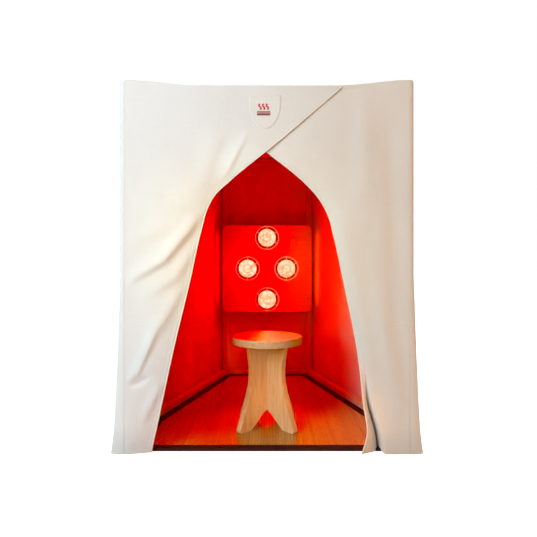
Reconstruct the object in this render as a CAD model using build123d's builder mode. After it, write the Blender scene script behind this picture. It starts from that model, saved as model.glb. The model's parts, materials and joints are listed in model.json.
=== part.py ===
"""Portable lamp sauna: a canvas-covered timber cabin with a heat-lamp panel, a stool and a mat.

X runs to the right, Y from the doorway to the back, Z up. The origin is on the floor under
the middle of the cabin. All sizes are in millimetres.
"""

from build123d import *
import math
import os

os.makedirs("parts", exist_ok=True)

# Timber frame: a six-sided plan that narrows towards the back
POST = 38.0
POST_TOP = 1574.0
RAIL_TOP = 1548.0
FRONT_X, FRONT_Y = 596.0, -703.0
SIDE_Y = -317.0
REAR_X, REAR_Y = 300.0, 707.0
DOWEL_R = 5.0
DOWEL_IN_POST = 12.0
DOWEL_IN_RAIL = 30.0
DOWEL_PLAY = 0.05

# Two round bars between the rear posts: the lamp hangs on one and rests against the other
BAR_R = 14.0
HANG_Z = 1010.0
STOP_Z = 560.0

# Canvas
CLOTH = 2.5
CLOTH_FLOOR = 2.0
SIDE_CLOTH_X = 618.0
FRONT_CLOTH_Y = -729.8
REAR_CLOTH_Y = 731.0
SLANT_CLOTH = 26.5
UNDERLAP = 4.0
FLARE_TOP = 450.0
FLARE_X = 655.0
SPLIT_Z = 1099.0
SPLIT_GAP = 2.0
HINGE_X = 604.5
HINGE_SIDE_GAP = 1.5
HINGE_FLAP_GAP = 2.5
POCKET = 43.0
POCKET_WALL = 2.0
PATCH_X, PATCH_TOP = -8.0, 1513.0
PATCH_W, PATCH_H, PATCH_T = 134.0, 143.0, 1.2

# Floor mat
MAT_X = 574.0
MAT_FRONT_Y, MAT_REAR_Y = -690.0, 685.0
MAT_SLANT = -22.0
BACKING_T = 2.0
MAT_TOP = 8.0
BINDING_T = 1.5
BINDING_W = 65.0
BINDING_LIP = 3.0
SLAT_PITCH = 21.0
SLAT_GAP = 0.8
SLAT_GROOVE = 1.0

# Stool
STOOL_Y = -370.0
SEAT_R, SEAT_T, SEAT_TOP = 175.0, 36.0, 446.0
SEAT_EDGE = 7.0
LEG_T = 28.0
LEG_FOOT_R, LEG_WAIST_R, LEG_TOP_R = 194.0, 111.0, 134.0
LEG_BOTTOM = MAT_TOP + 0.3
LEG_WAIST_Z = 278.0
ARCH_R, ARCH_PEAK, ARCH_ROUND = 118.0, 98.0, 67.0
TOE_R = 12.0
SEAT_GROOVE = 6.0
LAP_Z = 250.0
LAP_PLAY = 0.1

# Lamp panel
LAMP_Z = 765.0
BOARD_W, BOARD_H, BOARD_T, BOARD_CORNER = 611.0, 594.0, 18.0, 45.0
BOARD_Y = 530.0
HOUSING_W, HOUSING_H, HOUSING_WALL = 540.0, 560.0, 4.0
HOUSING_BACK_Y = 686.0
FLANGE, FLANGE_T = 14.0, 2.0
BULB_X, BULB_Z = 132.0, 210.0
BULB_HOLE_R = 70.0
BULB_R = 63.5
BULB_FACE_Y = 512.0
GUARD_R, GUARD_WIRE, GUARD_HUB_R, GUARD_DEPTH = 80.0, 2.0, 26.0, 34.0
SPOKE_WIRE = 1.6
SWITCH_X, SWITCH_Z = 171.0, 934.0
PLATE_W, PLATE_H, PLATE_T = 70.0, 114.0, 4.0
PADDLE_W, PADDLE_H = 33.0, 67.0
PADDLE_Y = 528.0
PADDLE_TILT = 4.5
INLET_X, INLET_Y, INLET_COLLAR = -180.0, 640.0, 22.0
HOOK_X, HOOK_W, HOOK_T = 200.0, 30.0, 3.0
BUMPER_X, BUMPER_R = 200.0, 14.0
WIRE_R = 2.2
WIRE_Y = 655.0

BOARD_BACK_Y = BOARD_Y + BOARD_T
BULBS = {
    "upper_bulb": (0, LAMP_Z + BULB_Z),
    "lower_bulb": (0, LAMP_Z - BULB_Z),
    "left_bulb": (-BULB_X, LAMP_Z),
    "right_bulb": (BULB_X, LAMP_Z),
}
POSTS = {
    "left_front_post": (-FRONT_X, FRONT_Y),
    "right_front_post": (FRONT_X, FRONT_Y),
    "left_side_post": (-FRONT_X, SIDE_Y),
    "right_side_post": (FRONT_X, SIDE_Y),
    "left_rear_post": (-REAR_X, REAR_Y),
    "right_rear_post": (REAR_X, REAR_Y),
}
TOP_RAIL_Z = RAIL_TOP - POST / 2
BASE_RAIL_Z = POST / 2
RAILS = {
    "front_top_rail": ("left_front_post", "right_front_post", TOP_RAIL_Z),
    "left_side_top_rail": ("left_front_post", "left_side_post", TOP_RAIL_Z),
    "right_side_top_rail": ("right_front_post", "right_side_post", TOP_RAIL_Z),
    "left_slant_top_rail": ("left_side_post", "left_rear_post", TOP_RAIL_Z),
    "right_slant_top_rail": ("right_side_post", "right_rear_post", TOP_RAIL_Z),
    "rear_top_rail": ("left_rear_post", "right_rear_post", TOP_RAIL_Z),
    "left_side_base_rail": ("left_front_post", "left_side_post", BASE_RAIL_Z),
    "right_side_base_rail": ("right_front_post", "right_side_post", BASE_RAIL_Z),
    "left_slant_base_rail": ("left_side_post", "left_rear_post", BASE_RAIL_Z),
    "right_slant_base_rail": ("right_side_post", "right_rear_post", BASE_RAIL_Z),
    "rear_base_rail": ("left_rear_post", "right_rear_post", BASE_RAIL_Z),
}


def write(piece, name):
    """Labels a finished piece and writes its STEP file."""
    piece.label = name
    export_step(piece, f"parts/{name}.step")


def at_y(y):
    """The upright plane at depth y: local x is X, local y is Z, and it faces the doorway."""
    return Plane.XZ.offset(-y)


# ---------------------------------------------------------------- timber frame


def rail_ends(start, end):
    """Middles of a rail's two end faces, on the facing sides of the square posts."""
    a, b = Vector(*POSTS[start]), Vector(*POSTS[end])
    along = (b - a).normalized()
    reach = POST / 2 / max(abs(along.X), abs(along.Y))
    return a + along * reach, b - along * reach, along


def rail_outline(start, end):
    """Plan corners of a rail whose ends are cut flush with the posts' facing sides."""
    first, last, along = rail_ends(start, end)
    across = Vector(-along.Y, along.X)
    if abs(along.Y) > abs(along.X):
        skew = across.Y / along.Y
    else:
        skew = across.X / along.X
    half = POST / 2
    corners = []
    for middle, side in ((first, -1), (last, -1), (last, 1), (first, 1)):
        corner = middle + across * (side * half) - along * (side * half * skew)
        corners.append((corner.X, corner.Y))
    return corners


def dowel_planes(rail):
    """One plane per end of a rail, at the dowel's inner end and pointing into the rail."""
    start, end, z = RAILS[rail]
    first, last, along = rail_ends(start, end)
    planes = []
    for middle, direction in ((first, along), (last, along * -1)):
        origin = middle - direction * DOWEL_IN_POST
        planes.append(Plane(origin=(origin.X, origin.Y, z), z_dir=(direction.X, direction.Y, 0)))
    return planes


def drill_dowels(rails):
    """Cuts the dowel holes of the named rails out of the part being built."""
    for rail in rails:
        for plane in dowel_planes(rail):
            with BuildSketch(plane) as hole:
                Circle(DOWEL_R + DOWEL_PLAY)
            extrude(hole.sketch, amount=DOWEL_IN_POST + DOWEL_IN_RAIL, mode=Mode.SUBTRACT)


for post, (post_x, post_y) in POSTS.items():
    with BuildPart() as frame_post:
        with BuildSketch():
            with Locations((post_x, post_y)):
                Rectangle(POST, POST)
        extrude(amount=POST_TOP)
        fillet(frame_post.edges().filter_by(Axis.Z), 3)
        chamfer(frame_post.faces().sort_by(Axis.Z)[-1].edges(), 3)
        drill_dowels([rail for rail, ends in RAILS.items() if post in ends[:2]])
        if post.endswith("rear_post"):
            for bar_z in (HANG_Z, STOP_Z):
                with BuildSketch(Plane.YZ.offset(-REAR_X + POST / 2 - DOWEL_IN_POST)):
                    with Locations((REAR_Y, bar_z)):
                        Circle(BAR_R + DOWEL_PLAY)
                extrude(amount=2 * REAR_X - POST + 2 * DOWEL_IN_POST, mode=Mode.SUBTRACT)
    write(frame_post.part, post)

for rail, (start_post, end_post, rail_z) in RAILS.items():
    with BuildPart() as frame_rail:
        with BuildSketch(Plane.XY.offset(rail_z - POST / 2)):
            with BuildLine():
                Polyline(*rail_outline(start_post, end_post), close=True)
            make_face()
        extrude(amount=POST)
        drill_dowels([rail])
    write(frame_rail.part, rail)

with BuildPart() as rail_dowels:
    for rail in RAILS:
        for plane in dowel_planes(rail):
            with BuildSketch(plane):
                Circle(DOWEL_R)
            extrude(amount=DOWEL_IN_POST + DOWEL_IN_RAIL)
write(rail_dowels.part, "rail_dowels")

for bar, bar_z in (("lamp_hanging_bar", HANG_Z), ("lamp_stop_bar", STOP_Z)):
    bar_half = REAR_X - POST / 2 + DOWEL_IN_POST
    with BuildPart() as lamp_bar:
        with BuildSketch(Plane.YZ.offset(-bar_half)):
            with Locations((REAR_Y, bar_z)):
                Circle(BAR_R)
        extrude(amount=2 * bar_half)
    write(lamp_bar.part, bar)


# ---------------------------------------------------------------- canvas

SLANT_ALONG = Vector(REAR_X - FRONT_X, REAR_Y - SIDE_Y).normalized()
SLANT_OUT = Vector(SLANT_ALONG.Y, -SLANT_ALONG.X)


def slant_point(outward, x=None, y=None):
    """Point at a given x or y on the right slanted wall's line, moved outward from its axis."""
    foot = Vector(FRONT_X, SIDE_Y) + SLANT_OUT * outward
    if y is None:
        step = (x - foot.X) / SLANT_ALONG.X
    else:
        step = (y - foot.Y) / SLANT_ALONG.Y
    point = foot + SLANT_ALONG * step
    return (point.X, point.Y)


def cabin_outline(side_x, outward, front_y, rear_y):
    """Six-sided plan outline, parallel to the walls."""
    kink = slant_point(outward, x=side_x)
    rear = slant_point(outward, y=rear_y)
    right = [(side_x, front_y), kink, rear]
    left = [(-x, y) for x, y in reversed(right)]
    return right + left


def side_section(floor_x):
    """Closed section of a side wall's cloth, which leans out to floor_x at its hem."""
    inner = SIDE_CLOTH_X - CLOTH
    return [
        (inner, RAIL_TOP),
        (SIDE_CLOTH_X, RAIL_TOP),
        (SIDE_CLOTH_X, FLARE_TOP),
        (floor_x, CLOTH_FLOOR),
        (floor_x - CLOTH, CLOTH_FLOOR),
        (inner, FLARE_TOP),
    ]


kink_y = slant_point(SLANT_CLOTH, x=SIDE_CLOTH_X)[1] - CLOTH
with BuildPart() as right_side_canvas:
    for section_y, hem_x in ((FRONT_CLOTH_Y, FLARE_X), (kink_y, SIDE_CLOTH_X + 1)):
        with BuildSketch(at_y(section_y)):
            with BuildLine():
                Polyline(*side_section(hem_x), close=True)
            make_face()
    loft(ruled=True)
    with BuildSketch(at_y(FRONT_CLOTH_Y + CLOTH)):
        with BuildLine():
            strip_x = HINGE_X + HINGE_SIDE_GAP
            Polyline(
                (strip_x, RAIL_TOP),
                (SIDE_CLOTH_X, RAIL_TOP),
                (SIDE_CLOTH_X, FLARE_TOP),
                (FLARE_X, CLOTH_FLOOR),
                (strip_x, CLOTH_FLOOR),
                close=True,
            )
        make_face()
    extrude(amount=CLOTH)
with BuildPart() as left_side_canvas:
    mirror(right_side_canvas.part, about=Plane.YZ)
write(right_side_canvas.part, "right_side_canvas")
write(left_side_canvas.part, "left_side_canvas")

slant_inner = SLANT_CLOTH - CLOTH
slant_front_y = kink_y + CLOTH
slant_rear_y = REAR_CLOTH_Y - 2 * CLOTH
with BuildPart() as right_slant_canvas:
    with BuildSketch(Plane.XY.offset(CLOTH_FLOOR)):
        with BuildLine():
            Polyline(
                slant_point(slant_inner, y=slant_front_y),
                slant_point(SLANT_CLOTH, y=slant_front_y),
                slant_point(SLANT_CLOTH, y=slant_rear_y),
                slant_point(slant_inner, y=slant_rear_y),
                close=True,
            )
        make_face()
    extrude(amount=RAIL_TOP - CLOTH_FLOOR)
with BuildPart() as left_slant_canvas:
    mirror(right_slant_canvas.part, about=Plane.YZ)
write(right_slant_canvas.part, "right_slant_canvas")
write(left_slant_canvas.part, "left_slant_canvas")

rear_half = slant_point(SLANT_CLOTH, y=REAR_CLOTH_Y)[0]
with BuildPart() as rear_canvas:
    with BuildSketch(at_y(REAR_CLOTH_Y)):
        with Locations((0, (RAIL_TOP + CLOTH_FLOOR) / 2)):
            Rectangle(2 * rear_half, RAIL_TOP - CLOTH_FLOOR)
    extrude(amount=CLOTH)
write(rear_canvas.part, "rear_canvas")

with BuildPart() as roof_canvas:
    with BuildSketch(Plane.XY.offset(RAIL_TOP + 1)):
        with BuildLine():
            Polyline(
                *cabin_outline(SIDE_CLOTH_X, SLANT_CLOTH, FRONT_CLOTH_Y, REAR_CLOTH_Y),
                close=True,
            )
        make_face()
    extrude(amount=CLOTH)
    pocket_top = POST_TOP + 2 + POCKET_WALL
    with BuildSketch(Plane.XY.offset(RAIL_TOP + 1)):
        with Locations(*POSTS.values()):
            Rectangle(POCKET, POCKET)
    extrude(amount=pocket_top - RAIL_TOP - 1)
    with BuildSketch(Plane.XY.offset(RAIL_TOP + 1)):
        with Locations(*POSTS.values()):
            Rectangle(POCKET - 2 * POCKET_WALL, POCKET - 2 * POCKET_WALL)
    extrude(amount=pocket_top - POCKET_WALL - RAIL_TOP - 1, mode=Mode.SUBTRACT)
write(roof_canvas.part, "roof_canvas")

# Free edges of the two front sheets, from the roof down to the split and from it to the hem
LEFT_UPPER_EDGE = [(328, RAIL_TOP), (55, 1339), (-3, 1275), (-153, 1156), (-216, SPLIT_Z + 1)]
RIGHT_UPPER_EDGE = [(-300, RAIL_TOP), (-3, 1275), (83, 1205), (158, 1146), (206, SPLIT_Z + 1)]
LEFT_LOWER_EDGE = [(-217, SPLIT_Z - 1), (-272, 963), (-326, 724), (-393, 445), (-490, CLOTH_FLOOR)]
RIGHT_LOWER_EDGE = [(208, SPLIT_Z - 1), (255, 1017), (298, 820), (356, 565), (424, CLOTH_FLOOR)]


def front_sheet(edge, side, lowest, highest, plane_y):
    """Flat front cloth between the hinge line on one side (-1 or 1) and its free edge."""
    hinge_edge = side * (HINGE_X - HINGE_FLAP_GAP)
    with BuildPart() as sheet:
        with BuildSketch(at_y(plane_y)):
            with BuildLine():
                Spline(*edge)
                Polyline(edge[-1], (hinge_edge, lowest), (hinge_edge, highest), edge[0])
            make_face()
        extrude(amount=CLOTH)
    return sheet.part


outer_layer = FRONT_CLOTH_Y + CLOTH
header_low = SPLIT_Z + SPLIT_GAP / 2
flap_high = SPLIT_Z - SPLIT_GAP / 2
left_flap_header = front_sheet(LEFT_UPPER_EDGE, -1, header_low, RAIL_TOP, outer_layer)
write(left_flap_header, "left_flap_header")
right_flap_header = front_sheet(
    RIGHT_UPPER_EDGE, 1, header_low, RAIL_TOP, outer_layer + UNDERLAP
)
write(right_flap_header, "right_flap_header")
left_flap = front_sheet(LEFT_LOWER_EDGE, -1, CLOTH_FLOOR, flap_high, outer_layer)
write(left_flap, "left_flap")
right_flap = front_sheet(RIGHT_LOWER_EDGE, 1, CLOTH_FLOOR, flap_high, outer_layer)
write(right_flap, "right_flap")

with BuildPart() as sewn_patch:
    with BuildSketch(at_y(FRONT_CLOTH_Y)):
        with BuildLine():
            patch_left = PATCH_X - PATCH_W / 2
            patch_right = PATCH_X + PATCH_W / 2
            shoulder_z = PATCH_TOP - 0.3 * PATCH_H
            tip = (PATCH_X, PATCH_TOP - PATCH_H)
            Polyline(
                (patch_left, shoulder_z),
                (patch_left, PATCH_TOP),
                (patch_right, PATCH_TOP),
                (patch_right, shoulder_z),
            )
            TangentArc((patch_right, shoulder_z), tip, tangent=(0, -1))
            TangentArc((patch_left, shoulder_z), tip, tangent=(0, -1))
        make_face()
    extrude(amount=PATCH_T)
write(sewn_patch.part, "sewn_patch")


# ---------------------------------------------------------------- floor mat

mat_points = cabin_outline(MAT_X, MAT_SLANT, MAT_FRONT_Y, MAT_REAR_Y)


def mat_outline(inset):
    """Adds the mat's outline to the current sketch, drawn in by inset."""
    with BuildLine() as outline:
        Polyline(*mat_points, close=True)
        if inset:
            offset(amount=-inset, kind=Kind.INTERSECTION, mode=Mode.REPLACE)
    make_face(outline.edges())


with BuildPart() as mat_backing:
    with BuildSketch():
        mat_outline(0)
    extrude(amount=BACKING_T)
write(mat_backing.part, "mat_backing")

rebate_z = MAT_TOP - BINDING_T
with BuildPart() as bamboo_mat:
    with BuildSketch(Plane.XY.offset(BACKING_T)):
        mat_outline(BINDING_LIP)
    extrude(amount=rebate_z - BACKING_T)
    with BuildSketch(Plane.XY.offset(rebate_z)):
        mat_outline(BINDING_W)
    extrude(amount=BINDING_T)
    slat_count = int(2 * (MAT_X - BINDING_W) / SLAT_PITCH)
    with BuildSketch(Plane.XY.offset(MAT_TOP - SLAT_GROOVE)):
        with GridLocations(SLAT_PITCH, 0, slat_count, 1):
            Rectangle(SLAT_GAP, 2 * MAT_REAR_Y + 2 * BINDING_W)
    extrude(amount=SLAT_GROOVE, mode=Mode.SUBTRACT)
write(bamboo_mat.part, "bamboo_mat")

with BuildPart() as mat_binding:
    with BuildSketch(Plane.XY.offset(BACKING_T)):
        mat_outline(0)
    extrude(amount=MAT_TOP - BACKING_T)
    with BuildSketch(Plane.XY.offset(BACKING_T)):
        mat_outline(BINDING_LIP)
    extrude(amount=rebate_z - BACKING_T, mode=Mode.SUBTRACT)
    with BuildSketch(Plane.XY.offset(rebate_z)):
        mat_outline(BINDING_W)
    extrude(amount=BINDING_T, mode=Mode.SUBTRACT)
write(mat_binding.part, "mat_binding")


# ---------------------------------------------------------------- stool


def leg_panel(turn, lap_from_top):
    """One upright leg board across the stool, turned about the stool's axis by turn degrees."""
    angle = math.radians(turn)
    board = Plane(
        origin=(0, STOOL_Y, 0),
        x_dir=(math.cos(angle), math.sin(angle), 0),
        z_dir=(math.sin(angle), -math.cos(angle), 0),
    )
    leg_top = SEAT_TOP - SEAT_T + SEAT_GROOVE
    lap_low, lap_high = (LAP_Z, leg_top) if lap_from_top else (0, LAP_Z)
    with BuildPart() as panel:
        with BuildSketch(board) as profile:
            with BuildLine():
                for side in (-1, 1):
                    Spline(
                        (side * LEG_FOOT_R, LEG_BOTTOM),
                        (side * LEG_WAIST_R, LEG_WAIST_Z),
                        (side * LEG_TOP_R, leg_top),
                        tangents=((-side, 2.6), (side * 0.5, 2)),
                    )
                    Line((side * LEG_FOOT_R, LEG_BOTTOM), (side * ARCH_R, LEG_BOTTOM))
                FilletPolyline(
                    (-ARCH_R, LEG_BOTTOM),
                    (0, LEG_BOTTOM + ARCH_PEAK),
                    (ARCH_R, LEG_BOTTOM),
                    radius=ARCH_ROUND,
                )
                Line((-LEG_TOP_R, leg_top), (LEG_TOP_R, leg_top))
            make_face()
            fillet(profile.vertices().group_by(Axis.Y)[0], TOE_R)
        extrude(amount=LEG_T / 2, both=True)
        with BuildSketch(board):
            with Locations((0, (lap_low + lap_high) / 2)):
                Rectangle(LEG_T + 2 * LAP_PLAY, lap_high - lap_low + 1)
        extrude(amount=LEG_T, both=True, mode=Mode.SUBTRACT)
    return panel.part


write(leg_panel(45, True), "stool_leg_board_a")
write(leg_panel(-45, False), "stool_leg_board_b")

with BuildPart() as stool_seat:
    with BuildSketch(Plane.XY.offset(SEAT_TOP - SEAT_T)):
        with Locations((0, STOOL_Y)):
            Circle(SEAT_R)
    extrude(amount=SEAT_T)
    fillet(stool_seat.edges().group_by(Axis.Z)[-1], SEAT_EDGE)
    fillet(stool_seat.edges().group_by(Axis.Z)[0], SEAT_EDGE / 2)
    with BuildSketch(Plane.XY.offset(SEAT_TOP - SEAT_T)):
        with Locations((0, STOOL_Y)):
            for turn in (45, -45):
                Rectangle(2 * LEG_TOP_R + 1, LEG_T + 2 * LAP_PLAY, rotation=turn)
    extrude(amount=SEAT_GROOVE, mode=Mode.SUBTRACT)
write(stool_seat.part, "stool_seat")


# ---------------------------------------------------------------- lamp panel

screw_x = HOUSING_W / 2 + FLANGE / 2
screw_z = HOUSING_H / 2 + FLANGE / 2
screw_spots = [(x, z) for x in (-screw_x, screw_x) for z in (-200, 200)]
screw_spots += [(x, z) for x in (-140, 140) for z in (-screw_z, screw_z)]
screw_places = [(x, LAMP_Z + z) for x, z in screw_spots]
SCREW_R, SCREW_HEAD_R, SCREW_HEAD_T, SCREW_END_Y = 2.0, 4.5, 2.5, 556.0

with BuildPart() as lamp_face_board:
    with BuildSketch(at_y(BOARD_BACK_Y)):
        with Locations((0, LAMP_Z)):
            RectangleRounded(BOARD_W, BOARD_H, BOARD_CORNER)
        with Locations(*BULBS.values()):
            Circle(BULB_HOLE_R, mode=Mode.SUBTRACT)
        with Locations((SWITCH_X, SWITCH_Z)):
            Rectangle(39, 79, mode=Mode.SUBTRACT)
        with Locations(*screw_places):
            Circle(SCREW_R + 0.2, mode=Mode.SUBTRACT)
    extrude(amount=BOARD_T)
    fillet(lamp_face_board.faces().sort_by(Axis.Y)[0].outer_wire().edges(), 4)
write(lamp_face_board.part, "lamp_face_board")

inlet_w, inlet_d = 48.0, 24.0
housing_low = LAMP_Z - HOUSING_H / 2
with BuildPart() as lamp_housing:
    with BuildSketch(at_y(HOUSING_BACK_Y)):
        with Locations((0, LAMP_Z)):
            RectangleRounded(HOUSING_W, HOUSING_H, 12)
    extrude(amount=HOUSING_BACK_Y - BOARD_BACK_Y)
    with BuildSketch(at_y(BOARD_BACK_Y + FLANGE_T)):
        with Locations((0, LAMP_Z)):
            RectangleRounded(HOUSING_W + 2 * FLANGE, HOUSING_H + 2 * FLANGE, 20)
    extrude(amount=FLANGE_T)
    with BuildSketch(at_y(HOUSING_BACK_Y - HOUSING_WALL)):
        with Locations((0, LAMP_Z)):
            RectangleRounded(HOUSING_W - 2 * HOUSING_WALL, HOUSING_H - 2 * HOUSING_WALL, 8)
    extrude(amount=HOUSING_BACK_Y - BOARD_BACK_Y, mode=Mode.SUBTRACT)
    with BuildSketch(at_y(BOARD_BACK_Y + FLANGE_T)):
        with Locations(*screw_places):
            Circle(SCREW_R + 0.2)
    extrude(amount=FLANGE_T, mode=Mode.SUBTRACT)
    with BuildSketch(Plane.XY.offset(housing_low)):
        with Locations((INLET_X, INLET_Y)):
            Rectangle(inlet_w + 0.4, inlet_d + 0.4)
    extrude(amount=HOUSING_WALL, mode=Mode.SUBTRACT)
    with BuildSketch(Plane.XY.offset(LAMP_Z + HOUSING_H / 2 - HOUSING_WALL)):
        with Locations((0, (BOARD_BACK_Y + HOUSING_BACK_Y) / 2)):
            with GridLocations(40, 0, 11, 1):
                SlotOverall(70, 6, rotation=90)
    extrude(amount=HOUSING_WALL, mode=Mode.SUBTRACT)
write(lamp_housing.part, "lamp_housing")

with BuildPart() as board_screws:
    with BuildSketch(at_y(SCREW_END_Y)):
        with Locations(*screw_places):
            Circle(SCREW_R)
    extrude(amount=SCREW_END_Y - BOARD_Y)
    with BuildSketch(at_y(BOARD_Y)):
        with Locations(*screw_places):
            Circle(SCREW_HEAD_R)
    extrude(amount=SCREW_HEAD_T)
write(board_screws.part, "board_screws")

# Bulb profile as radius and depth behind the face: domed face, reflector, neck and screw cap
NECK_R, CAP_R = 18.0, 13.3
RIM_D, CONE_D, NECK_D, CAP_D = 20.0, 104.0, 128.0, 158.0
for bulb, (bulb_x, bulb_z) in BULBS.items():
    profile_plane = Plane(origin=(bulb_x, BULB_FACE_Y, bulb_z), x_dir=(1, 0, 0), z_dir=(0, 0, 1))
    with BuildPart() as heat_bulb:
        with BuildSketch(profile_plane):
            with BuildLine():
                Spline((0, 0), (BULB_R, RIM_D), tangents=((1, 0), (0, 1)))
                Spline((BULB_R, RIM_D), (NECK_R, CONE_D), tangents=((0, 1), (-0.4, 1)))
                Polyline(
                    (NECK_R, CONE_D),
                    (NECK_R, NECK_D),
                    (CAP_R, NECK_D),
                    (CAP_R, CAP_D - 6),
                    (CAP_R / 2, CAP_D),
                    (0, CAP_D),
                    (0, 0),
                )
            make_face()
        revolve(axis=Axis((bulb_x, 0, bulb_z), (0, 1, 0)))
    write(heat_bulb.part, bulb)

SOCKET_R, SOCKET_BACK_Y = 22.0, HOUSING_BACK_Y - HOUSING_WALL
socket_front_y = BULB_FACE_Y + NECK_D + 1
with BuildPart() as bulb_sockets:
    with BuildSketch(at_y(SOCKET_BACK_Y)):
        with Locations(*BULBS.values()):
            Circle(SOCKET_R)
    extrude(amount=SOCKET_BACK_Y - socket_front_y)
    with BuildSketch(at_y(BULB_FACE_Y + CAP_D + 2)):
        with Locations(*BULBS.values()):
            Circle(CAP_R + 0.3)
    extrude(amount=SOCKET_BACK_Y - socket_front_y, mode=Mode.SUBTRACT)
write(bulb_sockets.part, "bulb_sockets")


def guard_ring(plane, radius, height):
    """Adds a wire ring of the guard that is built on plane, at a height above the board."""
    ring_plane = plane.offset(height)
    section = Plane(
        origin=ring_plane.origin + ring_plane.x_dir * radius,
        x_dir=ring_plane.x_dir,
        z_dir=ring_plane.y_dir,
    )
    with BuildSketch(section) as wire_section:
        Circle(GUARD_WIRE)
    revolve(wire_section.sketch, axis=Axis(ring_plane.origin, ring_plane.z_dir))


with BuildPart() as bulb_guards:
    for bulb_x, bulb_z in BULBS.values():
        guard_plane = Plane(origin=(bulb_x, BOARD_Y, bulb_z), x_dir=(1, 0, 0), z_dir=(0, -1, 0))
        guard_ring(guard_plane, GUARD_R, GUARD_WIRE)
        guard_ring(guard_plane, GUARD_HUB_R, GUARD_DEPTH)
        for spoke in range(6):
            angle = math.radians(60 * spoke + 30)
            spoke_plane = Plane(
                origin=guard_plane.origin,
                x_dir=(math.cos(angle), 0, math.sin(angle)),
                z_dir=(math.sin(angle), 0, -math.cos(angle)),
            )
            with BuildLine(spoke_plane) as wire:
                FilletPolyline(
                    (GUARD_R, GUARD_WIRE),
                    (GUARD_R - 8, GUARD_DEPTH - 4),
                    (GUARD_HUB_R, GUARD_DEPTH),
                    radius=12,
                )
            with BuildSketch(Plane(origin=wire.line @ 0, z_dir=wire.line % 0)):
                Circle(SPOKE_WIRE)
            sweep(path=wire.line)
write(bulb_guards.part, "bulb_guards")

with BuildPart() as switch_plate:
    with BuildSketch(at_y(BOARD_Y)):
        with Locations((SWITCH_X, SWITCH_Z)):
            RectangleRounded(PLATE_W, PLATE_H, 5)
            Rectangle(PADDLE_W + 2.5, PADDLE_H + 2, mode=Mode.SUBTRACT)
    extrude(amount=PLATE_T)
    chamfer(switch_plate.faces().sort_by(Axis.Y)[0].outer_wire().edges(), 1.5)
write(switch_plate.part, "switch_plate")

SWITCH_FRONT_Y, SWITCH_BACK_Y = 534.5, 590.0
with BuildPart() as switch_body:
    with BuildSketch(at_y(SWITCH_BACK_Y)):
        with Locations((SWITCH_X, SWITCH_Z)):
            Rectangle(38, 78)
    extrude(amount=SWITCH_BACK_Y - SWITCH_FRONT_Y)
write(switch_body.part, "switch_body")

# The paddle is a shallow V in section and rests with its upper half pressed in
tilt = math.radians(PADDLE_TILT)
paddle_plane = Plane(
    origin=(SWITCH_X - PADDLE_W / 2, PADDLE_Y, SWITCH_Z),
    x_dir=(0, math.cos(tilt), -math.sin(tilt)),
    z_dir=(1, 0, 0),
)
with BuildPart() as switch_paddle:
    with BuildSketch(paddle_plane):
        with BuildLine():
            Polyline(
                (3, -PADDLE_H / 2),
                (-4, -PADDLE_H / 2),
                (-1.4, 0),
                (-4, PADDLE_H / 2),
                (3, PADDLE_H / 2),
                close=True,
            )
        make_face()
    extrude(amount=PADDLE_W)
write(switch_paddle.part, "switch_paddle")

with BuildPart() as power_inlet:
    with BuildSketch(Plane.XY.offset(housing_low)):
        with Locations((INLET_X, INLET_Y)):
            Rectangle(inlet_w, inlet_d)
    extrude(amount=28)
    with BuildSketch(Plane.XY.offset(housing_low)):
        with Locations((INLET_X, INLET_Y)):
            RectangleRounded(inlet_w + 14, inlet_d + 10, 4)
    extrude(amount=-3)
    with BuildSketch(Plane.XY.offset(housing_low - INLET_COLLAR)):
        with Locations((INLET_X, INLET_Y)):
            RectangleRounded(inlet_w - 4, inlet_d + 2, 3)
    extrude(amount=INLET_COLLAR)
    with BuildSketch(Plane.XY.offset(housing_low - INLET_COLLAR)):
        with Locations((INLET_X, INLET_Y)):
            RectangleRounded(inlet_w - 14, inlet_d - 8, 2)
    extrude(amount=INLET_COLLAR - 5, mode=Mode.SUBTRACT)
write(power_inlet.part, "power_inlet")

hook_inner = BAR_R + 0.5
hook_outer = hook_inner + HOOK_T
with BuildPart() as hanging_hooks:
    for hook_x in (-HOOK_X, HOOK_X):
        with BuildSketch(Plane.YZ.offset(hook_x - HOOK_W / 2)):
            with BuildLine():
                Polyline(
                    (REAR_Y + hook_inner, HANG_Z),
                    (REAR_Y + hook_inner, HANG_Z - 10),
                    (REAR_Y + hook_outer, HANG_Z - 10),
                    (REAR_Y + hook_outer, HANG_Z),
                )
                ThreePointArc(
                    (REAR_Y + hook_outer, HANG_Z),
                    (REAR_Y, HANG_Z + hook_outer),
                    (REAR_Y - hook_outer, HANG_Z),
                )
                Polyline(
                    (REAR_Y - hook_outer, HANG_Z),
                    (REAR_Y - hook_outer, HANG_Z - 25),
                    (HOUSING_BACK_Y, HANG_Z - 25),
                    (HOUSING_BACK_Y, HANG_Z - 80),
                    (REAR_Y - hook_inner, HANG_Z - 80),
                    (REAR_Y - hook_inner, HANG_Z),
                )
                ThreePointArc(
                    (REAR_Y - hook_inner, HANG_Z),
                    (REAR_Y, HANG_Z + hook_inner),
                    (REAR_Y + hook_inner, HANG_Z),
                )
            make_face()
        extrude(amount=HOOK_W)
write(hanging_hooks.part, "hanging_hooks")

bumper_end_y = REAR_Y - BAR_R - 0.3
with BuildPart() as rubber_bumpers:
    with BuildSketch(at_y(bumper_end_y)):
        with Locations((-BUMPER_X, STOP_Z), (BUMPER_X, STOP_Z)):
            Circle(BUMPER_R)
    extrude(amount=bumper_end_y - HOUSING_BACK_Y)
write(rubber_bumpers.part, "rubber_bumpers")

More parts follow.
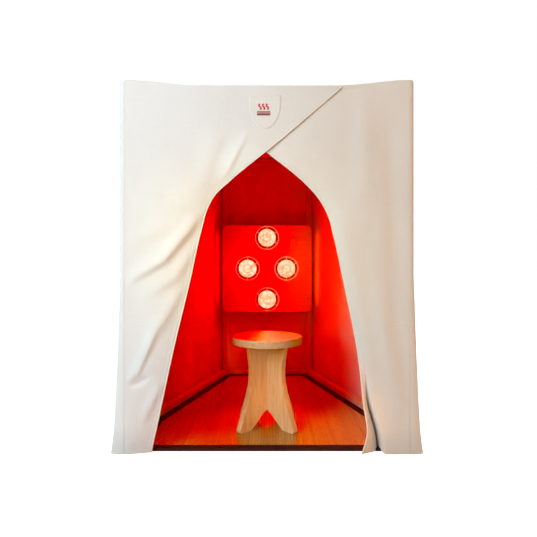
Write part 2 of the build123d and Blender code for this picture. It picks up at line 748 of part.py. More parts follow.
# Internal leads: inlet to switch, then from the switch round the four sockets
lead_y = WIRE_Y + 6
inlet_top = housing_low + 28
LEADS = [
    [(INLET_X, INLET_Y, inlet_top), (INLET_X, INLET_Y, inlet_top + 30),
     (INLET_X, lead_y, inlet_top + 70),
     (INLET_X, lead_y, SWITCH_Z), (SWITCH_X - 12, lead_y, SWITCH_Z),
     (SWITCH_X - 12, SWITCH_BACK_Y, SWITCH_Z)],
    [(SWITCH_X + 12, SWITCH_BACK_Y, SWITCH_Z), (SWITCH_X + 12, WIRE_Y, SWITCH_Z),
     (SWITCH_X + 12, WIRE_Y, LAMP_Z), (BULB_X + SOCKET_R, WIRE_Y, LAMP_Z)],
    [(BULB_X, WIRE_Y, LAMP_Z + SOCKET_R), (BULB_X, WIRE_Y, LAMP_Z + BULB_Z),
     (SOCKET_R, WIRE_Y, LAMP_Z + BULB_Z)],
    [(BULB_X, WIRE_Y, LAMP_Z - SOCKET_R), (BULB_X, WIRE_Y, LAMP_Z - BULB_Z),
     (SOCKET_R, WIRE_Y, LAMP_Z - BULB_Z)],
    [(-SOCKET_R, WIRE_Y, LAMP_Z - BULB_Z), (-BULB_X, WIRE_Y, LAMP_Z - BULB_Z),
     (-BULB_X, WIRE_Y, LAMP_Z - SOCKET_R)],
]
with BuildPart() as wiring_loom:
    for route in LEADS:
        with BuildLine() as lead:
            FilletPolyline(*route, radius=14)
        with BuildSketch(Plane(origin=lead.line @ 0, z_dir=lead.line % 0)):
            Circle(WIRE_R)
        sweep(path=lead.line)
write(wiring_loom.part, "wiring_loom")
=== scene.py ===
"""Looks of the portable lamp sauna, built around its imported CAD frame.

X runs to the right, Y from the doorway to the back, Z up. Lengths are in metres.
"""

import json
import math

import bmesh
import bpy
import numpy as np
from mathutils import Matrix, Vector, noise


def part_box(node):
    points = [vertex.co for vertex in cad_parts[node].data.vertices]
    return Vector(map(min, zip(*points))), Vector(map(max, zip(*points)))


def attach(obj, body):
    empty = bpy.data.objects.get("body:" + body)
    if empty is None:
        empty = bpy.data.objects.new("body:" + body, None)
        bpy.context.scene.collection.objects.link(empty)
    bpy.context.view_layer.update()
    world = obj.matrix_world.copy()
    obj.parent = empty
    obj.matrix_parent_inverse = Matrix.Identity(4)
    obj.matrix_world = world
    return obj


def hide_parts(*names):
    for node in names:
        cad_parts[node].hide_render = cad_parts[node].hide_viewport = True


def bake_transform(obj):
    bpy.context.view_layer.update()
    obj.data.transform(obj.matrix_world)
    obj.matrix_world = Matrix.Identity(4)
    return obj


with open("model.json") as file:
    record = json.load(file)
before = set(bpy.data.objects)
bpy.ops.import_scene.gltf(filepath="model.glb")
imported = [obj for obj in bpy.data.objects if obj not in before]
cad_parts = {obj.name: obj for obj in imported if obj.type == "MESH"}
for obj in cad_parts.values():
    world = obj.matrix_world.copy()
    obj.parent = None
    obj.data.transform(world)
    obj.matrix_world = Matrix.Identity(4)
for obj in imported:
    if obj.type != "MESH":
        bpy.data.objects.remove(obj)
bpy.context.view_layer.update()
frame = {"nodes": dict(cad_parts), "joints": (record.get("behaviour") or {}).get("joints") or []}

# ---- places from the frame

CLOTH = 0.0022  # thickness of the canvas
CELL = 0.008  # grid spacing of the cloth


def centre(node):
    """Middle of a CAD node's box."""
    low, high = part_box(node)
    return (low + high) / 2


POSTS = {name: centre(name) for name in frame["nodes"] if name.endswith("_post")}
WALL_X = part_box("right_side_post")[1].x + 0.0035
FRONT_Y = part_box("left_flap_header")[0].y + CLOTH / 2
UNDER_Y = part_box("right_flap_header")[0].y + CLOTH / 2
REAR_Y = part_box("rear_canvas")[1].y - CLOTH / 2
RAIL_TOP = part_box("front_top_rail")[1].z
POST_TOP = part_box("left_front_post")[1].z
HINGE_X = next(j["pos_m"][0] for j in frame["joints"] if j["name"] == "right_flap_swing")
SEAM_X = HINGE_X - 0.004
HEM_Z = 0.003
ROOF_Z = RAIL_TOP + 0.0075
ROLL = 0.008  # radius of the roof's rolled edge
CORNER_R = 0.014
FACE_OUT = 0.0008  # how far the front cloth stands off its CAD face
EDGE_CURL, ROOF_SAG = 0.022, 0.016
HEM_W = 0.024


# ---- small geometry helpers


def smoothstep(low, high, value):
    """0 before low, 1 after high, and a smooth rise between them."""
    t = np.clip((np.asarray(value, float) - low) / (high - low), 0, 1)
    return t * t * (3 - 2 * t)


def smooth_curve(points):
    """Function through (parameter, value) points with smooth tangents."""
    knots, values = np.array(sorted(points), float).T
    slopes = np.gradient(values, knots)

    def curve(t):
        t = np.clip(np.asarray(t, float), knots[0], knots[-1])
        i = np.clip(np.searchsorted(knots, t) - 1, 0, len(knots) - 2)
        span = knots[i + 1] - knots[i]
        s = (t - knots[i]) / span
        return (
            (2 * s**3 - 3 * s**2 + 1) * values[i]
            + (s**3 - 2 * s**2 + s) * span * slopes[i]
            + (3 * s**2 - 2 * s**3) * values[i + 1]
            + (s**3 - s**2) * span * slopes[i + 1]
        )

    return curve


def unit(vectors):
    """The same vectors at length 1."""
    return vectors / np.linalg.norm(vectors, axis=-1, keepdims=True)


def travel(line):
    """Distance along a line of points, at each of them."""
    return np.concatenate([[0], np.cumsum(np.linalg.norm(np.diff(line, axis=0), axis=1))])


def sample(line, marks, wanted):
    """Points of a line at wanted marks, where each of its own points has a mark."""
    return np.stack([np.interp(wanted, marks, column) for column in line.T], axis=-1)


def perlin(x, y, z, seed=0.0):
    """Smooth noise from -1 to 1 at each point of three equal arrays."""
    x, y, z = np.broadcast_arrays(x, y, z)
    flat = zip(x.ravel(), y.ravel(), z.ravel())
    made = [noise.noise(Vector((a + seed, b - seed, c + 2 * seed))) for a, b, c in flat]
    return np.array(made).reshape(x.shape)


def fold(x, z, path, width, height, lee=1.0):
    """A ridge of cloth along a bent path; lee scales the width of its lower side."""
    path = np.array(path, float)
    lengths = np.hypot(*np.diff(path, axis=0).T)
    starts = np.concatenate([[0], np.cumsum(lengths)])
    nearest = np.full(np.shape(x), 9.0)
    along = np.zeros(np.shape(x))
    below = np.zeros(np.shape(x), bool)
    for i, (a, b) in enumerate(zip(path[:-1], path[1:])):
        step = (b - a) / lengths[i]
        t = np.clip((x - a[0]) * step[0] + (z - a[1]) * step[1], 0, lengths[i])
        dx, dz = x - a[0] - t * step[0], z - a[1] - t * step[1]
        gap = np.hypot(dx, dz)
        closer = gap < nearest
        nearest = np.where(closer, gap, nearest)
        along = np.where(closer, starts[i] + t, along)
        below = np.where(closer, dz < 0, below)
    spread = np.where(below, width * lee, width)
    fade = np.sin(np.pi * np.clip(along / starts[-1], 0.04, 0.96)) ** 0.6
    return height * fade * np.exp(-((nearest / spread) ** 2))


def add_object(name, data, place=(0, 0, 0), aim=None):
    """Puts a mesh, light or camera in the scene, turned towards aim where one is given."""
    made = bpy.data.objects.new(name, data)
    made.location = place
    if aim is not None:
        made.rotation_euler = (Vector(aim) - Vector(place)).to_track_quat("-Z", "Y").to_euler()
    bpy.context.scene.collection.objects.link(made)
    return made


def mesh_object(name, vertices, faces):
    """A new mesh piece from plain lists."""
    mesh = bpy.data.meshes.new(name)
    mesh.from_pydata(vertices, [], faces)
    mesh.update()
    return add_object(name, mesh)


def prism_faces(first, size, rings, flipped=False):
    """Faces of a closed prism whose rings of vertices follow each other from first."""
    last = first + (rings - 1) * size
    faces = []
    for start in range(first, last, size):
        for k in range(size):
            a, b = start + k, start + (k + 1) % size
            faces.append((a, b, b + size, a + size) if flipped else (a, a + size, b + size, b))
    caps = [range(first, first + size), range(last, last + size)[::-1]]
    return faces + [tuple(cap[::-1] if flipped else cap) for cap in caps]


def grid_piece(name, points, cloth_uv=None, closed=False):
    """A smooth mesh over a rows by columns grid of points, with a map in metres of cloth."""
    rows, columns = points.shape[:2]
    index = np.arange(rows * columns).reshape(rows, columns)
    if closed:
        index = np.concatenate([index, index[:, :1]], axis=1)
    a, b = index[:-1, :-1], index[:-1, 1:]
    c, d = index[1:, 1:], index[1:, :-1]
    faces = np.stack([a, b, c, d], axis=-1).reshape(-1, 4)
    piece = mesh_object(name, points.reshape(-1, 3).tolist(), faces.tolist())
    mesh = piece.data
    if cloth_uv is not None:
        layer = mesh.uv_layers.new(name="cloth")
        corner_vertices = np.empty(len(mesh.loops), int)
        mesh.loops.foreach_get("vertex_index", corner_vertices)
        layer.data.foreach_set("uv", cloth_uv.reshape(-1, 2)[corner_vertices].ravel())
    mesh.shade_smooth()
    return piece


def thicken(piece, thickness=CLOTH):
    """Gives a sheet its thickness, half to each side."""
    solid = piece.modifiers.new("thickness", "SOLIDIFY")
    solid.thickness = thickness
    solid.offset = 0
    solid.use_even_offset = False
    crisp = piece.modifiers.new("crisp rim", "EDGE_SPLIT")
    crisp.split_angle = math.radians(50)
    return piece


def close_rings(piece, longest=math.inf, turn_out=False):
    """Fills the open rings whose edges are shorter than longest."""
    built = bmesh.new()
    built.from_mesh(piece.data)
    rim = [e for e in built.edges if e.is_boundary and e.calc_length() < longest]
    bmesh.ops.holes_fill(built, edges=rim, sides=0)
    if turn_out:
        bmesh.ops.recalc_face_normals(built, faces=built.faces)
    built.to_mesh(piece.data)
    built.free()
    piece.data.shade_smooth()
    return piece


def tube(name, path, across, over, sides=8):
    """A flattened tube along a path: across and over are arrays of its two half-axis vectors."""
    turn = np.linspace(0, 2 * np.pi, sides, endpoint=False)[:, None]
    ring = path[:, None] + np.cos(turn) * across[:, None] + np.sin(turn) * over[:, None]
    return close_rings(grid_piece(name, ring, closed=True), turn_out=True)


# ---- materials


class Shade:
    """A node material under construction."""

    def __init__(self, name, **constants):
        self.material = bpy.data.materials.new(name)
        self.material.use_nodes = True
        self.nodes = self.material.node_tree.nodes
        self.links = self.material.node_tree.links
        self.surface = self.nodes["Principled BSDF"]
        for socket, value in constants.items():
            self.surface.inputs[socket.replace("_", " ")].default_value = value
        self.place = self.nodes.new("ShaderNodeTexCoord").outputs["Object"]

    def feed(self, socket, value):
        """Links another node's output to a socket, or sets the socket to a plain value."""
        if isinstance(value, bpy.types.NodeSocket):
            self.links.new(value, socket)
        else:
            socket.default_value = value

    def add(self, kind, out=0, settings=None, **inputs):
        """Adds a node; its inputs are given by name, or as i0, i1 and so on."""
        made = self.nodes.new("ShaderNode" + kind)
        for key, value in (settings or {}).items():
            setattr(made, key, value)
        for key, value in inputs.items():
            index = int(key[1:]) if key[1:].isdigit() else key.replace("_", " ")
            self.feed(made.inputs[index], value)
        return made.outputs[out]

    def maths(self, operation, a, b):
        """A Math node on two values."""
        return self.add("Math", settings={"operation": operation}, i0=a, i1=b)

    def weighted(self, a, share_a, b, share_b):
        """The weighted sum of two values."""
        first = self.maths("MULTIPLY", a, share_a)
        return self.maths("ADD", first, self.maths("MULTIPLY", b, share_b))

    def axis(self, name, vector=None):
        """One coordinate of a vector, by default of the place on the piece."""
        return self.add("SeparateXYZ", out=name, Vector=vector or self.place)

    def stretched(self, scale, source=None):
        """Coordinates scaled along the axes, for grain and threads."""
        return self.add("Mapping", Vector=source or self.place, Scale=scale)

    def fibres(self, along, lengthwise, across):
        """Coordinates for fibres or scratches that run along one axis."""
        return self.stretched(tuple(lengthwise if axis == along else across for axis in "XYZ"))

    def noise(self, vector, scale, detail=3.0, roughness=0.55, distortion=0.0):
        """Smooth noise over a vector."""
        return self.add(
            "TexNoise", out="Fac", Vector=vector, Scale=scale, Detail=detail,
            Roughness=roughness, Distortion=distortion,
        )

    def threads(self, direction, pitch, distortion, detail_scale=1.0):
        """Waves across the cloth's own X or Y, one to each thread."""
        cloth = self.add("UVMap", settings={"uv_map": "cloth"})
        return self.add(
            "TexWave", out="Fac", settings={"bands_direction": direction}, Vector=cloth,
            Scale=math.pi / 10 / pitch, Distortion=distortion, Detail=1.0,
            Detail_Scale=detail_scale,
        )

    def ramp(self, factor, stops):
        """A colour ramp from (position, colour) stops."""
        made = self.nodes.new("ShaderNodeValToRGB")
        self.links.new(factor, made.inputs["Fac"])
        band = made.color_ramp
        while len(band.elements) < len(stops):
            band.elements.new(0.5)
        for element, (position, colour) in zip(band.elements, stops):
            element.position = position
            element.color = (*colour, 1)
        return made.outputs["Color"]

    def mix(self, factor, a, b, blend="MIX"):
        """Two colours mixed, or multiplied, by a factor."""
        made = self.nodes.new("ShaderNodeMix")
        made.data_type = "RGBA"
        made.blend_type = blend
        sockets = [s for s in made.inputs if s.enabled]
        for socket, value in zip(sockets, (factor, a, b)):
            self.feed(socket, (*value, 1) if isinstance(value, tuple) else value)
        return next(s for s in made.outputs if s.enabled)

    def colour(self, value):
        """Sets the surface's colour."""
        self.links.new(value, self.surface.inputs["Base Color"])

    def rough(self, factor, low, high):
        """Roughness that wanders between low and high."""
        made = self.add("MapRange", Value=factor, i3=low, i4=high)
        self.links.new(made, self.surface.inputs["Roughness"])

    def bump(self, height, strength, distance, **below):
        """Raises the surface by a height; Normal may be the output of a coarser bump."""
        made = self.add("Bump", Height=height, Strength=strength, Distance=distance, **below)
        self.links.new(made, self.surface.inputs["Normal"])
        return made


def canvas_material(name, pale, deep, thread=0.0015):
    """Heavy plain-woven cotton: crossing threads, slubs and soft creases; darker towards the floor,
    and tinted warmer towards the right side as painted warm light.
    """
    shade = Shade(name, Sheen_Weight=0.25, Sheen_Roughness=0.6, Specular_IOR_Level=0.25)
    weave = shade.maths("MULTIPLY", *(shade.threads(way, thread, 1.2, 0.4) for way in "XY"))
    cloth = shade.add("UVMap", settings={"uv_map": "cloth"})
    slub_long = shade.noise(shade.stretched((9, 240, 1), cloth), 1.0, 2.0)
    slub_cross = shade.noise(shade.stretched((240, 9, 1), cloth), 1.0, 2.0)
    slubs = shade.maths("MAXIMUM", slub_long, slub_cross)
    mottle = shade.noise(shade.place, 5.0, 5.0, 0.6)
    cloud = shade.noise(shade.place, 1.3, 2.0)
    base = shade.ramp(shade.weighted(mottle, 0.55, cloud, 0.45), [(0.36, deep), (0.60, pale)])
    dark_thread = shade.ramp(slubs, [(0.60, (1, 1, 1)), (0.85, (0.94, 0.93, 0.915))])
    base = shade.mix(1.0, base, dark_thread, "MULTIPLY")
    # The cloth is mottled darker towards the floor, in its lowest 12 cm.
    near_floor = shade.add("MapRange", Value=shade.axis("Z"), i1=0.12, i2=0.0)
    darker_near_floor = shade.maths("MULTIPLY", near_floor, mottle)
    base = shade.mix(darker_near_floor, base, tuple(0.72 * c for c in deep))
    # Painted warm light: the cloth is tinted warmer towards +X, the right side, as if a warm lamp
    # lit it there.
    warm_side_light = shade.add("MapRange", Value=shade.axis("X"), i1=-0.10, i2=0.34)
    base = shade.mix(warm_side_light, base, (0.94, 0.895, 0.83), "MULTIPLY")
    shade.colour(base)
    shade.rough(mottle, 0.82, 0.97)
    creases = shade.noise(shade.place, 16.0, 6.0, 0.62, 0.4)
    soft = shade.bump(creases, 0.30, 0.006)
    fine = shade.bump(slubs, 0.35, 0.0005, Normal=soft)
    shade.bump(weave, 0.45, 0.0003, Normal=fine)
    return shade.material


def wood_material(name, pale, dark, along, rough=(0.38, 0.55), ring=7.0):
    """Planed wood with growth rings, pores and a little wear; along is the grain's axis."""
    shade = Shade(name, Coat_Weight=0.12, Coat_Roughness=0.35, Specular_IOR_Level=0.4)
    rings = shade.noise(shade.fibres(along, 1.0, 12.0), ring, 4.0, 0.6, 1.6)
    fibre = shade.noise(shade.fibres(along, 1.0, 60.0), 14.0, 3.0, 0.7)
    middle = tuple((a + b) / 2 for a, b in zip(pale, dark))
    base = shade.ramp(rings, [(0.30, dark), (0.45, middle), (0.62, pale)])
    pores = shade.ramp(fibre, [(0.30, (0.72, 0.66, 0.58)), (0.55, (1, 1, 1))])
    base = shade.mix(0.65, base, pores, "MULTIPLY")
    cloud = shade.noise(shade.place, 6.0, 3.0)
    base = shade.mix(
        shade.add("MapRange", Value=cloud, i1=0.35, i2=0.7, i3=0.0, i4=0.35),
        base,
        shade.mix(1.0, base, (0.86, 0.74, 0.60), "MULTIPLY"),
    )
    shade.colour(base)
    shade.rough(fibre, *rough)
    shade.bump(fibre, 0.25, 0.0006, Normal=shade.bump(rings, 0.12, 0.001))
    return shade.material


def bamboo_material():
    """Bamboo slats, each of its own tone, with long fibres and darker nodes across them."""
    shade = Shade("bamboo", Coat_Weight=0.25, Coat_Roughness=0.25, Specular_IOR_Level=0.5)
    island = shade.nodes.new("ShaderNodeNewGeometry").outputs["Random Per Island"]
    fibre = shade.noise(shade.stretched((520, 7, 40)), 1.0, 3.0, 0.6)
    streak = shade.noise(shade.stretched((90, 1.6, 1)), 1.0, 3.0)
    base = shade.ramp(
        shade.weighted(island, 0.30, streak, 0.70),
        [(0.25, (0.48, 0.27, 0.07)), (0.50, (0.57, 0.34, 0.095)), (0.78, (0.66, 0.42, 0.13))],
    )
    dark_fibre = shade.ramp(fibre, [(0.3, (0.66, 0.56, 0.44)), (0.6, (1, 1, 1))])
    base = shade.mix(0.5, base, dark_fibre, "MULTIPLY")
    span = shade.maths("FRACT", shade.weighted(island, 3.7, shade.axis("Y"), 3.1), 0.0)
    white = (1, 1, 1)
    joint = shade.ramp(
        span, [(0.0, (0.45, 0.33, 0.2)), (0.010, white), (0.975, white), (1.0, (0.62, 0.5, 0.36))]
    )
    base = shade.mix(0.85, base, joint, "MULTIPLY")
    shade.colour(base)
    shade.rough(fibre, 0.26, 0.48)
    shade.bump(fibre, 0.3, 0.0005)
    return shade.material


def plain_material(name, pale, deep, rough, scale, bump=0.0002, **constants):
    """Moulded, painted or bare material: fine texture, tone variation and uneven gloss."""
    shade = Shade(name, **constants)
    grain = shade.noise(shade.place, scale, 4.0, 0.6)
    cloud = shade.noise(shade.place, scale / 9, 3.0)
    shade.colour(shade.ramp(cloud, [(0.35, deep), (0.62, pale)]))
    shade.rough(grain, *rough)
    shade.bump(grain, 0.3, bump)
    return shade.material


def steel_material(name, tone, along):
    """Bright metal with fine drawn scratches along one axis."""
    shade = Shade(name, Metallic=1.0)
    lines = shade.noise(shade.fibres(along, 4.0, 700.0), 1.0, 2.0)
    smudge = shade.noise(shade.place, 25.0, 4.0)
    shade.colour(shade.ramp(smudge, [(0.3, tuple(0.8 * c for c in tone)), (0.6, tone)]))
    shade.rough(lines, 0.16, 0.34)
    shade.bump(lines, 0.15, 0.0001)
    return shade.material


def tape_material():
    """Dark woven binding: ribs across the tape, worn a little paler on top."""
    shade = Shade("border_tape", Specular_IOR_Level=0.2)
    ribs = shade.threads("X", 0.0022, 0.8)
    cross = shade.threads("Y", 0.0011, 0.8)
    worn = shade.noise(shade.place, 14.0, 5.0, 0.65)
    shade.colour(shade.ramp(worn, [(0.35, (0.026, 0.006, 0.005)), (0.70, (0.060, 0.014, 0.011))]))
    shade.rough(worn, 0.72, 0.92)
    shade.bump(shade.maths("MULTIPLY", ribs, cross), 0.6, 0.0006)
    return shade.material


def bulb_material():
    """Lit reflector lamp: a mottled warm glow on the face, red-coated glass behind it."""
    shade = Shade("lit_bulb", Roughness=0.18, Coat_Weight=0.6, Coat_Roughness=0.05)
    facets = shade.add("TexVoronoi", out="Distance", Vector=shade.place, Scale=46.0)
    patches = shade.noise(shade.place, 24.0, 3.0, 0.55, 0.6)
    glow = shade.ramp(
        shade.weighted(facets, 0.40, patches, 0.86),
        [(0.42, (1.0, 0.94, 0.70)), (0.58, (0.99, 0.84, 0.52)), (0.76, (0.92, 0.50, 0.22))],
    )
    normal = shade.nodes.new("ShaderNodeTexCoord").outputs["Normal"]
    front = shade.add("MapRange", Value=shade.axis("Y", normal), i1=-0.45, i2=-0.80)
    shade.colour(shade.mix(front, (0.45, 0.02, 0.01), (0.20, 0.10, 0.06)))
    shade.links.new(glow, shade.surface.inputs["Emission Color"])
    shade.links.new(front, shade.surface.inputs["Emission Strength"])
    return shade.material


FRAME_WOOD = (0.78, 0.57, 0.36), (0.58, 0.38, 0.21)
MATERIALS = {
    "canvas": canvas_material("natural_canvas", (0.82, 0.812, 0.79), (0.785, 0.772, 0.742)),
    "hem": canvas_material("hem_canvas", (0.86, 0.845, 0.81), (0.82, 0.80, 0.76)),
    "patch": canvas_material("patch_canvas", (0.85, 0.838, 0.80), (0.81, 0.796, 0.755), 0.001),
    "post": wood_material("post_wood", *FRAME_WOOD, "Z"),
    "rail_x": wood_material("rail_wood_x", *FRAME_WOOD, "X"),
    # Painted light: the side rails and dowels get a paler, warmer copy of the frame wood, standing
    # in for light that falls on them.
    "rail_y_painted_light": wood_material("rail_wood_y_painted_light", (0.88, 0.66, 0.42), (0.68, 0.46, 0.26), "Y"),
    "seat": wood_material("seat_wood", (0.72, 0.50, 0.29), (0.50, 0.29, 0.13), "Y", (0.22, 0.38)),
    "leg": wood_material("leg_wood", (0.71, 0.50, 0.27), (0.55, 0.35, 0.16), "Z", (0.35, 0.5), 4.0),
    "board": wood_material("board_wood", (0.70, 0.50, 0.33), (0.56, 0.36, 0.21), "X", (0.3, 0.5)),
    "bamboo": bamboo_material(),
    "tape": tape_material(),
    "steel": steel_material("brushed_steel", (0.60, 0.60, 0.62), "Z"),
    # Painted glow: the guard wire emits a pink light as if lit by the bulbs; it is no lamp.
    "wire": plain_material(
        "guard_wire", (0.86, 0.84, 0.82), (0.78, 0.75, 0.73), (0.2, 0.35), 400.0,
        Emission_Color=(1.0, 0.42, 0.32, 1), Emission_Strength=0.60,
    ),
    "bulb": bulb_material(),
}
# Name, pale and deep tone, roughness range and scale of the grain
PLAIN = {
    "felt": ("backing_felt", (0.07, 0.045, 0.04), (0.03, 0.02, 0.018), (0.85, 1.0), 300.0, 0.0006),
    "housing": ("powder_coat", (0.72, 0.72, 0.71), (0.64, 0.64, 0.63), (0.35, 0.5), 500.0),
    "ceramic": ("porcelain", (0.85, 0.83, 0.79), (0.78, 0.75, 0.70), (0.10, 0.25), 90.0),
    "plate": ("switch_plastic", (0.60, 0.57, 0.53), (0.52, 0.50, 0.46), (0.22, 0.34), 400.0),
    "paddle": ("paddle_plastic", (0.86, 0.84, 0.80), (0.80, 0.78, 0.74), (0.18, 0.28), 400.0),
    "black": ("black_plastic", (0.035, 0.035, 0.037), (0.02, 0.02, 0.022), (0.35, 0.6), 700.0),
    "rubber": ("rubber", (0.03, 0.03, 0.03), (0.018, 0.018, 0.018), (0.6, 0.85), 300.0),
    "red_ink": ("red_print", (0.68, 0.07, 0.07), (0.55, 0.05, 0.05), (0.6, 0.8), 900.0),
    "dark_ink": ("dark_print", (0.26, 0.10, 0.11), (0.16, 0.07, 0.08), (0.6, 0.8), 900.0),
    "thread": ("thread", (0.80, 0.76, 0.68), (0.68, 0.63, 0.55), (0.7, 0.9), 900.0),
}
MATERIALS |= {key: plain_material(*row) for key, row in PLAIN.items()}


def dress(piece, material, body=None, replaces=()):
    """Gives a new piece its material, the body that it rides on and what it replaces."""
    piece.data.materials.clear()
    piece.data.materials.append(MATERIALS[material])
    if body:
        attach(piece, body)
    if replaces:
        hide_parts(*replaces)
    return piece


NODE_LOOKS = {
    "rail_dowels": "rail_y_painted_light",
    "lamp_hanging_bar": "rail_x",
    "lamp_stop_bar": "rail_x",
    "mat_backing": "felt",
    "stool_seat": "seat",
    "lamp_face_board": "board",
    "lamp_housing": "housing",
    "board_screws": "steel",
    "hanging_hooks": "steel",
    "bulb_guards": "wire",
    "bulb_sockets": "ceramic",
    "switch_plate": "plate",
    "switch_paddle": "paddle",
    "switch_body": "black",
    "power_inlet": "black",
    "rubber_bumpers": "rubber",
    "wiring_loom": "black",
}


def look_of(node):
    """The material name of a CAD node that stays in view, or None."""
    if node.endswith("_rail"):
        return "rail_x" if node.startswith(("front", "rear")) else "rail_y_painted_light"
    if node.startswith("stool_leg"):
        return "leg"
    by_ending = {"post": "post", "bulb": "bulb"}.get(node.rsplit("_", 1)[-1])
    return NODE_LOOKS.get(node, by_ending)


for node_name, node_object in frame["nodes"].items():
    if look_of(node_name):
        node_object.data.materials.clear()
        node_object.data.materials.append(MATERIALS[look_of(node_name)])


# ---- the cabin's cloth


def slanted_plan(edge_x, front_y, rear_y, offset):
    """Six corners in plan, from the front right; the slants pass the posts at an offset."""
    side, rear = POSTS["right_side_post"].xy, POSTS["right_rear_post"].xy
    along = (rear - side).normalized()
    foot = side + Vector((along.y, -along.x)) * offset
    kink = foot + along * ((edge_x - foot.x) / along.x)
    back = foot + along * ((rear_y - foot.y) / along.y)
    right = [(edge_x, front_y), (kink.x, kink.y), (back.x, back.y)]
    return right + [(-x, y) for x, y in reversed(right)]


CABIN_PLAN = slanted_plan(WALL_X, FRONT_Y, REAR_Y, 0.0255)


def rounded_path(corners, radius, step, closed):
    """Evenly spaced points along a path whose corners are rounded."""
    corners = [np.array(c, float) for c in corners]
    count = len(corners)
    points = []
    for i, corner in enumerate(corners):
        if not closed and i in (0, count - 1):
            points.append(corner)
            continue
        start = corner + unit(corners[i - 1] - corner) * radius
        end = corner + unit(corners[(i + 1) % count] - corner) * radius
        for t in np.linspace(0, 1, 7):
            points.append((1 - t) ** 2 * start + 2 * t * (1 - t) * corner + t**2 * end)
    points = np.array(points + points[:1] if closed else points)
    travelled = travel(points)
    wanted = np.linspace(0, travelled[-1], int(travelled[-1] / step) + 1)
    if closed:
        wanted = wanted[:-1]
    return sample(points, travelled, wanted), wanted


def outward_normals(path, closed):
    """Unit plan normals of an anticlockwise path, pointing out of the cabin."""
    if closed:
        run = np.roll(path, -1, axis=0) - np.roll(path, 1, axis=0)
    else:
        run = np.gradient(path, axis=0)
    return unit(run)[:, ::-1] * (1, -1)


def roof_height(x, y):
    """Height of the roof cloth: held up by the post tops, sagging between them."""
    lift = 0.0
    for post in POSTS.values():
        gap = np.hypot(x - post.x, y - post.y)
        lift = np.maximum(lift, 1 - smoothstep(0.02, 0.31, gap) ** 0.8)
    return ROOF_Z + (POST_TOP + 0.0045 - ROOF_Z) * lift


def flare(z):
    """How far the front corners' cloth stands out sideways towards the floor."""
    return np.interp(
        z, [0.0, 0.04, 0.10, 0.22, 0.42, 0.60, 0.76],
        [0.042, 0.036, 0.029, 0.022, 0.013, 0.006, 0.0],
    )


LEFT_EDGE = smooth_curve([
    (ROOF_Z, 0.328), (1.275, -0.003), (1.156, -0.153), (1.098, -0.216), (1.038, -0.250),
    (0.963, -0.272), (0.724, -0.326), (0.445, -0.393), (0.184, -0.451), (HEM_Z, -0.491),
])
RIGHT_EDGE = smooth_curve([
    (ROOF_Z, -0.300), (1.275, -0.003), (1.146, 0.158), (1.092, 0.210), (1.017, 0.255),
    (0.921, 0.282), (0.705, 0.328), (0.454, 0.378), (0.213, 0.405), (0.083, 0.421),
    (HEM_Z, 0.400),
])

LEFT_SEED, RIGHT_SEED = 3.0, 11.0  # of the noise in each sheet's soft waves
# Folds of a sheet: path in X and Z, width, height, and its lower side's share of the width
LEFT_FOLDS = [
    ([(-0.275, 1.02), (-0.335, 0.935), (-0.430, 0.820), (-0.590, 0.725)], 0.034, 0.016, 0.50),
    ([(-0.300, 0.88), (-0.385, 0.745), (-0.500, 0.680)], 0.030, 0.007, 0.65),
    ([(-0.345, 0.72), (-0.415, 0.600), (-0.500, 0.450)], 0.032, 0.008, 0.65),
    ([(-0.455, 0.55), (-0.505, 0.430), (-0.545, 0.345), (-0.600, 0.305)], 0.028, 0.009, 0.45),
    ([(-0.600, 0.285), (-0.540, 0.300), (-0.490, 0.330)], 0.012, -0.006, 1.0),
    ([(-0.440, 0.31), (-0.490, 0.210), (-0.525, 0.130)], 0.024, 0.006, 0.7),
    ([(-0.645, 0.070), (-0.600, 0.045), (-0.560, 0.050)], 0.014, 0.006, 0.7),
    ([(-0.085, 1.345), (-0.134, 1.254), (-0.180, 1.160)], 0.015, 0.0060, 0.7),
    ([(-0.135, 1.350), (-0.186, 1.274), (-0.222, 1.180)], 0.024, -0.003, 1.0),
    ([(-0.200, 1.400), (-0.250, 1.260), (-0.262, 1.100)], 0.040, 0.004, 0.8),
    ([(-0.560, 1.100), (-0.440, 1.040), (-0.330, 1.035)], 0.050, 0.005, 0.8),
    ([(-0.590, 0.900), (-0.500, 0.920), (-0.400, 0.960)], 0.035, 0.004, 0.8),
]
RIGHT_FOLDS = [
    ([(0.610, 0.275), (0.640, 0.245), (0.560, 0.225)], 0.016, 0.006, 0.6),
    ([(0.405, 1.500), (0.410, 1.250), (0.395, 0.950)], 0.045, 0.006, 1.0),
    ([(0.520, 1.450), (0.530, 1.050), (0.540, 0.550)], 0.040, -0.005, 1.0),
    ([(0.300, 0.950), (0.350, 0.720), (0.420, 0.420)], 0.030, 0.006, 1.0),
    ([(0.470, 0.700), (0.500, 0.450), (0.560, 0.200)], 0.040, 0.007, 0.8),
]


def front_relief(x, z, folds, seed):
    """How far the front cloth stands out towards the viewer."""
    relief = sum(fold(x, z, *entry) for entry in folds)
    slant = perlin(3.0 * x + 1.2 * z, 1.6 * z - 1.0 * x, 0 * x, seed)
    small = perlin(9 * x + 4 * z, 5 * z - 4 * x, 0 * x, seed + 7)
    broad = 0.006 * slant + 0.0018 * small
    calm = smoothstep(ROOF_Z, 1.30, z) * smoothstep(SEAM_X, SEAM_X - 0.10, np.abs(x))
    billow = 0.007 * np.sin(np.pi * np.clip(z / ROOF_Z, 0, 1)) * smoothstep(SEAM_X, 0.45, np.abs(x))
    return relief * smoothstep(SEAM_X - 0.0005, SEAM_X - 0.045, np.abs(x)) + broad * calm + billow


